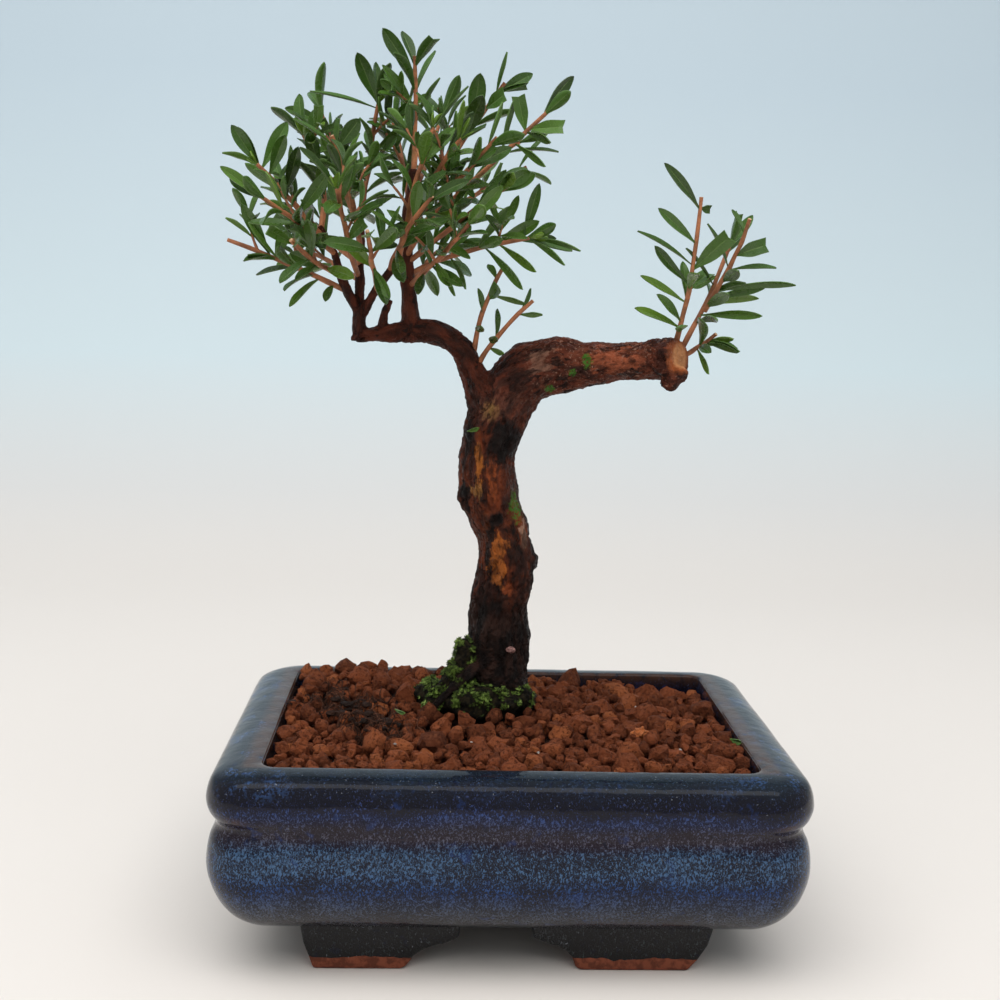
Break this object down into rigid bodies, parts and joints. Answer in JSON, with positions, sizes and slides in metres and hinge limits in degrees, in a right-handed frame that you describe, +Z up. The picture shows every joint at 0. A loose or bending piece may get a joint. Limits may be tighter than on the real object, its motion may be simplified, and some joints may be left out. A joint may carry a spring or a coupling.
{
  "type": "syzygium bonsai",
  "caption": "Small indoor bonsai: a curved trunk with two limbs and leafy sprays, standing with moss in granular soil in a footed rectangular glazed pot.",
  "frame": {"origin": "centre of the pot's plan, on the surface that its feet stand on", "axes": "+X along the pot's long side, -Y to the side seen in the picture, +Z up"},
  "size_m": [0.1535, 0.108, 0.2395],
  "materials": {
    "pot": "glossy navy glaze with dense light blue speckle, brown in the groove, bare red-brown clay under the feet",
    "drain_mesh": "matte black plastic",
    "soil": "matte red-brown baked clay grains",
    "wood": "rough dark bark with orange-brown bare patches and a pale cut face",
    "moss": "soft bright green moss",
    "foliage": "glossy dark green leaves on red-brown twigs"
  },
  "bodies": {
    "root": {"pot": "pot", "drain_mesh_left": "drain_mesh", "drain_mesh_right": "drain_mesh", "soil": "soil", "trunk": "wood", "moss": "moss", "spray_leader": "foliage", "spray_top_back": "foliage", "spray_top_right": "foliage", "spray_right_high": "foliage", "spray_right_front": "foliage", "spray_front_high": "foliage", "spray_right_middle": "foliage", "spray_right_low": "foliage", "spray_right_back": "foliage", "spray_back_high": "foliage", "spray_back_low": "foliage", "spray_front_middle": "foliage", "spray_front_low": "foliage", "spray_front_right": "foliage", "spray_middle_front": "foliage", "spray_middle_high": "foliage", "spray_middle_back": "foliage", "spray_back_left": "foliage", "spray_back_left_low": "foliage", "spray_left_high": "foliage", "spray_left_middle": "foliage", "spray_left_low": "foliage", "spray_left_top": "foliage", "spray_left_upright": "foliage", "spray_left_front": "foliage", "spray_front_left": "foliage", "spray_front_hanging": "foliage", "spray_stump_tall": "foliage", "spray_stump_right": "foliage", "spray_stump_low": "foliage", "spray_crotch_tall": "foliage", "spray_crotch_right": "foliage"}
  },
  "joints": []
}
